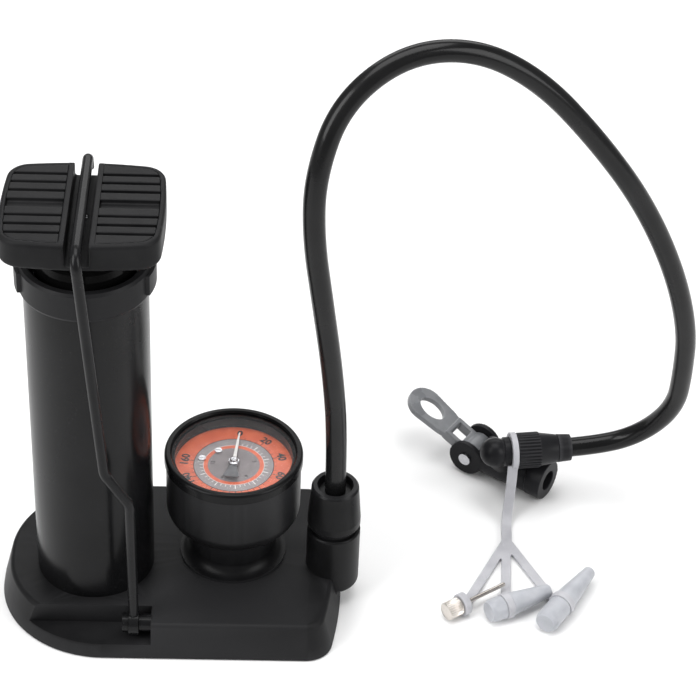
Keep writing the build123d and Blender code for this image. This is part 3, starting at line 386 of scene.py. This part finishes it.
def rounded_profile(points, radius, steps=4):
    """The open profile with each inner corner rounded, so that edges catch the light."""
    result = [points[0]]
    for before, corner, after in zip(points, points[1:], points[2:]):
        b, c, a = Vector(before[:2]), Vector(corner[:2]), Vector(after[:2])
        to_before, to_after = b - c, a - c
        cut = min(radius, 0.45 * to_before.length, 0.45 * to_after.length)
        start, end = c + to_before.normalized() * cut, c + to_after.normalized() * cut
        for step in range(steps + 1):
            t = step / steps
            point = start * (1 - t) ** 2 + c * 2 * t * (1 - t) + end * t ** 2
            result.append((point.x, point.y))
    result.append(points[-1])
    return result


# ---------------------------------------------------------------- hose
hose_points = [
    (0.0630, -0.0035, 0.0500),
    (0.0630, -0.0035, 0.0820),
    (0.0600, -0.0095, 0.1200),
    (0.0550, -0.0150, 0.1580),
    (0.0505, -0.0170, 0.1900),
    (0.0505, -0.0155, 0.2160),
    (0.0590, -0.0075, 0.2420),
    (0.0810, 0.0045, 0.2560),
    (0.1075, 0.0120, 0.2550),
    (0.1330, 0.0170, 0.2390),
    (0.1570, 0.0210, 0.2110),
    (0.1785, 0.0275, 0.1790),
    (0.1955, 0.0340, 0.1430),
    (0.2060, 0.0410, 0.1080),
    (0.2085, 0.0480, 0.0800),
    (0.2090, 0.0545, 0.0560),
    (0.1985, 0.0605, 0.0365),
    (0.1810, 0.0628, 0.0265),
    (0.1602, 0.0600, 0.0265),
]
hose_diameter = 0.0085

hose_curve = bpy.data.curves.new("hose_tube", "CURVE")
hose_curve.dimensions = "3D"
hose_spline = hose_curve.splines.new("NURBS")
hose_spline.points.add(len(hose_points) - 1)
for point, place_on_route in zip(hose_spline.points, hose_points):
    point.co = (*place_on_route, 1)
hose_spline.order_u = 3
hose_spline.use_endpoint_u = True
hose_spline.resolution_u = 16
hose_curve.bevel_depth = hose_diameter / 2
hose_curve.bevel_resolution = 10
hose_curve.use_fill_caps = True
hose_tube = bpy.data.objects.new("hose_tube", hose_curve)
bpy.context.scene.collection.objects.link(hose_tube)
place(hose_tube, "hose")

# ---------------------------------------------------------------- pedal
softened("pedal_body", "pedal_shell", 0.45, 3)
for side in ("left", "right"):
    softened(side + "_tread", side + "_tread_pad", 0.32, 3)

# ---------------------------------------------------------------- gauge dial, needle
dial_low, dial_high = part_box("gauge_dial")
dial_centre = (dial_low + dial_high) / 2
dial_centre.z = dial_high.z
dial_radius = (dial_high.x - dial_low.x) / 2 / MM
grey_radius = 16.3
band_outer = 12.4
band_inner = 10.6
scale_start = 6.0
scale_sweep = 272.0
scale_steps = 8
scale_unit = 20
number_radius = 20.0


def dial_point(radius, clockwise, lift):
    """Point on the dial: radius in millimetres, clockwise from the top in degrees, lift in millimetres."""
    angle = math.radians(90 - clockwise)
    return dial_centre + Vector((radius * math.cos(angle), radius * math.sin(angle), lift)) * MM


def add_ring(bm, inner, outer, lift, index, segments=128):
    """Flat ring between two radii."""
    rows = []
    for radius in (inner, outer):
        points = [dial_point(radius, 360 * step / segments, lift) for step in range(segments)]
        rows.append([bm.verts.new(point) for point in points])
    for step in range(segments):
        turn = (step + 1) % segments
        face = bm.faces.new((rows[0][step], rows[0][turn], rows[1][turn], rows[1][step]))
        face.material_index = index


def add_tick(bm, clockwise, inner, outer, width, lift, index):
    """Radial bar at one graduation."""
    half = width / 2
    corners = []
    for radius, side in ((inner, -half), (outer, -half), (outer, half), (inner, half)):
        corners.append(bm.verts.new(dial_point(radius, clockwise + math.degrees(side / radius), lift)))
    bm.faces.new(corners).material_index = index


def add_number(bm, text, clockwise, radius, height, lift, index):
    """Figure set upright along the radius, its foot towards the centre."""
    letters = bpy.data.curves.new("figure", "FONT")
    letters.body = text
    letters.size = height * MM
    letters.align_x = "CENTER"
    letters.align_y = "CENTER"
    letters.resolution_u = 3
    letters.offset = 0.035 * height * MM
    carrier = bpy.data.objects.new("figure", letters)
    mesh = bpy.data.meshes.new_from_object(carrier)
    turn = Matrix.Rotation(math.radians(-clockwise), 4, "Z")
    mesh.transform(Matrix.Translation(dial_point(radius, clockwise, lift)) @ turn)
    first = len(bm.faces)
    bm.from_mesh(mesh)
    bm.faces.ensure_lookup_table()
    for face in bm.faces[first:]:
        face.material_index = index
    bpy.data.objects.remove(carrier)
    bpy.data.curves.remove(letters)
    bpy.data.meshes.remove(mesh)


# material indices of the dial's inks
ORANGE, DARK, GREY, CENTRE, WHITE = range(5)
print_lift = 0.03
figure_lift = 0.06
unit_radius = 8.6
dial = bmesh.new()
add_ring(dial, 0.05, band_inner, 0, CENTRE)
add_ring(dial, band_inner, band_outer, 0, ORANGE)
add_ring(dial, band_outer, grey_radius, 0, GREY)
add_ring(dial, grey_radius, dial_radius, 0, ORANGE)
add_ring(dial, grey_radius - 0.15, grey_radius + 0.15, print_lift, DARK)
add_ring(dial, band_outer - 0.08, band_outer + 0.08, print_lift, WHITE)
for step in range(scale_steps * 4 + 1):
    clockwise = scale_start + scale_sweep * step / (scale_steps * 4)
    major = step % 4 == 0
    outer_end, outer_width = (2.1, 0.34) if major else (1.2, 0.2)
    add_tick(dial, clockwise, grey_radius + 0.1, grey_radius + outer_end, outer_width, print_lift, DARK)
    inner_end, inner_width = (2.4, 0.4) if major else (1.5, 0.24)
    add_tick(dial, clockwise, band_outer + 0.2, band_outer + inner_end, inner_width, print_lift, WHITE)
for step in range(scale_steps + 1):
    clockwise = scale_start + scale_sweep * step / scale_steps
    add_number(dial, str(step * scale_unit), clockwise, number_radius, 4.6, figure_lift, DARK)
for step in range(scale_steps // 2 + 1):
    clockwise = scale_start + scale_sweep * step / (scale_steps // 2)
    add_number(dial, str(step * 3), clockwise, unit_radius, 2.3, print_lift, DARK)
dial_face = object_from(dial, "dial_face")
for ink in (orange_ink, dark_ink, grey_ink, centre_ink, white_ink):
    dial_face.data.materials.append(ink)
place(dial_face, "gauge_dial")

needle_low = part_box("gauge_needle")[0]
needle_level = (needle_low.z - dial_centre.z) / MM
needle_tip = 18.4
needle_tail = 9.6
needle = bmesh.new()
outline = [
    (-0.75, 2.0), (-0.55, 12.0), (-0.28, needle_tip - 0.5), (0, needle_tip), (0.28, needle_tip - 0.5),
    (0.55, 12.0), (0.75, 2.0), (1.0, 0), (1.3, -2.2), (3.3, -needle_tail + 0.7), (2.4, -needle_tail),
    (-2.4, -needle_tail), (-3.3, -needle_tail + 0.7), (-1.3, -2.2), (-1.0, 0),
]
turn_needle = Matrix.Translation(dial_centre) @ Matrix.Rotation(math.radians(-scale_start), 4, "Z")
layers = []
for lift, shrink in ((needle_level, 1.0), (needle_level + 0.35, 1.0), (needle_level + 0.5, 0.82)):
    layers.append([needle.verts.new(turn_needle @ (Vector((x * shrink, y, lift)) * MM)) for x, y in outline])
for lower, upper in zip(layers, layers[1:]):
    for step in range(len(outline)):
        turn = (step + 1) % len(outline)
        face = needle.faces.new((lower[step], lower[turn], upper[turn], upper[step]))
        face.material_index = 1 if max(outline[step][1], outline[turn][1]) > 11 else 0
spine = len(outline) - 1
top_pairs = [(0, 6), (1, 5), (2, 4)]
for (a, b), (c, d) in zip(top_pairs, top_pairs[1:]):
    for layer, flip in ((layers[-1], False), (layers[0], True)):
        corners = [layer[a], layer[b], layer[d], layer[c]]
        needle.faces.new(corners[::-1] if flip else corners).material_index = 1
for layer in (layers[-1], layers[0]):
    needle.faces.new([layer[2], layer[4], layer[3]]).material_index = 1
    needle.faces.new([layer[0], layer[spine], layer[7], layer[6]]).material_index = 0
    needle.faces.new([layer[spine], layer[13], layer[8], layer[7]]).material_index = 0
    needle.faces.new([layer[13], layer[12], layer[11], layer[10], layer[9], layer[8]]).material_index = 0
bmesh.ops.recalc_face_normals(needle, faces=needle.faces)
needle_blade = object_from(needle, "needle_blade")
needle_blade.data.materials.append(slot_materials["needle_paint"])
needle_blade.data.materials.append(white_ink)
place(needle_blade, "gauge_needle")

hub_profile = rounded_profile(
    [(0.05, -0.3), (2.4, -0.3), (2.4, 0.9), (1.5, 1.1), (1.3, 1.9), (0.05, 2.05)], 0.3
)
hub_frame = axis_frame(dial_centre + Vector((0, 0, needle_level * MM)), (0, 0, 1))
needle_hub = turned("needle_hub", hub_profile, hub_frame, 48)
needle_hub.data.materials.append(slot_materials["steel"])
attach(needle_hub, "needle")

# ---------------------------------------------------------------- valve head
softened("head_body", "head_casting", 0.34, 3)
softened("head_cap", "head_mouth", 0.3, 2)
softened("head_lever", "lever_paddle", 0.3, 4)
softened("strap_tree", "strap_web", 0.26, 3)
for nozzle in ("short_nozzle", "long_nozzle"):
    softened(nozzle, nozzle + "_cone", 0.3, 4)

# ribbed gland nut, turned about the line on which the hose enters the head
gland_reach = 19.0
gland_dir = (Vector(hose_points[-2]) - Vector(hose_points[-1])).normalized()
gland_frame = axis_frame(Vector(hose_points[-1]) - gland_dir * gland_reach * MM, gland_dir)
gland_profile = [
    (5.05, 1.8), (7.4, 1.8), (7.75, 2.1), (7.9, 2.6), (7.9, 11.2), (7.75, 11.7), (7.4, 12.0),
    (6.15, 19.5), (5.9, 20.0), (4.4, 20.0), (4.4, 18.0), (5.05, 18.0), (5.05, 1.8),
]
gland_grip = turned("gland_grip", gland_profile, gland_frame, 256, 32, 0.7, (3, 4))
place(gland_grip, "gland_nut")

# ball needle: ribbed plated foot, then the thin tube
needle_mount = next(mount for mount in record["mounts"] if mount["name"] == "needle_tip")
needle_axis = Vector(needle_mount["axis"])
needle_reach = 21.0
needle_origin = Vector(needle_mount["pos_m"]) - needle_axis * needle_reach * MM
pin_profile = [
    (0.3, 0.0), (3.5, 0.0), (3.8, 0.2), (3.9, 0.5), (3.9, 6.5), (3.8, 6.8), (3.4, 7.0), (3.0, 7.05),
    (3.0, 10.8), (2.8, 11.0), (1.2, 11.1), (0.95, 11.6), (0.95, 30.3), (0.85, 30.8), (0.3, 31.0),
]
needle_pin = turned("needle_pin", pin_profile, axis_frame(needle_origin, needle_axis), 192, 24, 0.55, (3, 4))
place(needle_pin, "ball_needle")

# ---------------------------------------------------------------- check valve spring
spring_mesh = bmesh.new()
spring_mesh.from_mesh(cad_nodes["check_spring"].data)
check_coil = object_from(spring_mesh, "check_coil")
place(check_coil, "check_spring")
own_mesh(check_coil)

# ---------------------------------------------------------------- stage, light and camera
floor_mesh = bpy.data.meshes.new("floor")
floor_mesh.from_pydata([(-3, -3, 0), (3, -3, 0), (3, 3, 0), (-3, 3, 0)], [], [(0, 1, 2, 3)])
floor = bpy.data.objects.new("floor", floor_mesh)
bpy.context.scene.collection.objects.link(floor)
floor_material, floor_tree, floor_shader = new_material("floor_paper")
paper = ramp(floor_tree, noise(floor_tree, 3, 3), (0.86, 0.86, 0.86), (0.9, 0.9, 0.9))
floor_tree.links.new(paper, floor_shader.inputs["Base Color"])
floor_shader.inputs["Roughness"].default_value = 0.9
floor.data.materials.append(floor_material)


def softbox(name, location, target, size, power, colour=(1, 1, 1)):
    """Rectangular area light aimed at a point."""
    light = bpy.data.lights.new(name, "AREA")
    light.shape = "RECTANGLE"
    light.size, light.size_y = size
    light.energy = power
    light.color = colour
    lamp = bpy.data.objects.new(name, light)
    lamp.location = location
    lamp.rotation_euler = (Vector(target) - Vector(location)).to_track_quat("-Z", "Y").to_euler()
    bpy.context.scene.collection.objects.link(lamp)


aim = (0.05, 0, 0.09)
softbox("key_left", (-0.9, -0.55, 0.9), aim, (0.7, 1.0), 13)
softbox("fill_right", (1.1, -0.6, 0.75), aim, (0.7, 1.0), 9)
softbox("top", (0.05, 0.1, 1.5), aim, (1.2, 1.0), 15)
softbox("back", (0.1, 1.2, 0.9), aim, (1.4, 0.6), 6)

world = bpy.data.worlds.new("studio")
world.use_nodes = True
world.node_tree.nodes["Background"].inputs["Color"].default_value = (1, 1, 1, 1)
world.node_tree.nodes["Background"].inputs["Strength"].default_value = 0.3
bpy.context.scene.world = world
bpy.context.scene.view_settings.view_transform = "Standard"

camera_data = bpy.data.cameras.new("camera")
camera_data.sensor_width = 36
camera_data.lens = 123.4
camera = bpy.data.objects.new("camera", camera_data)
camera_azimuth = math.radians(-2.3)
camera_elevation = math.radians(37.8)
camera_roll = math.radians(2.6)
camera_distance = 0.932
look_at = Vector((0.0664, -0.0035, 0.1277))
back = Vector((
    math.sin(camera_azimuth) * math.cos(camera_elevation),
    -math.cos(camera_azimuth) * math.cos(camera_elevation),
    math.sin(camera_elevation),
))
level_right = Vector((math.cos(camera_azimuth), math.sin(camera_azimuth), 0))
level_up = back.cross(level_right)
right = level_right * math.cos(camera_roll) + level_up * math.sin(camera_roll)
up = back.cross(right)
camera_turn = Matrix((right, up, back)).transposed().to_4x4()
camera.matrix_world = Matrix.Translation(look_at + back * camera_distance) @ camera_turn
bpy.context.scene.collection.objects.link(camera)
bpy.context.scene.camera = camera
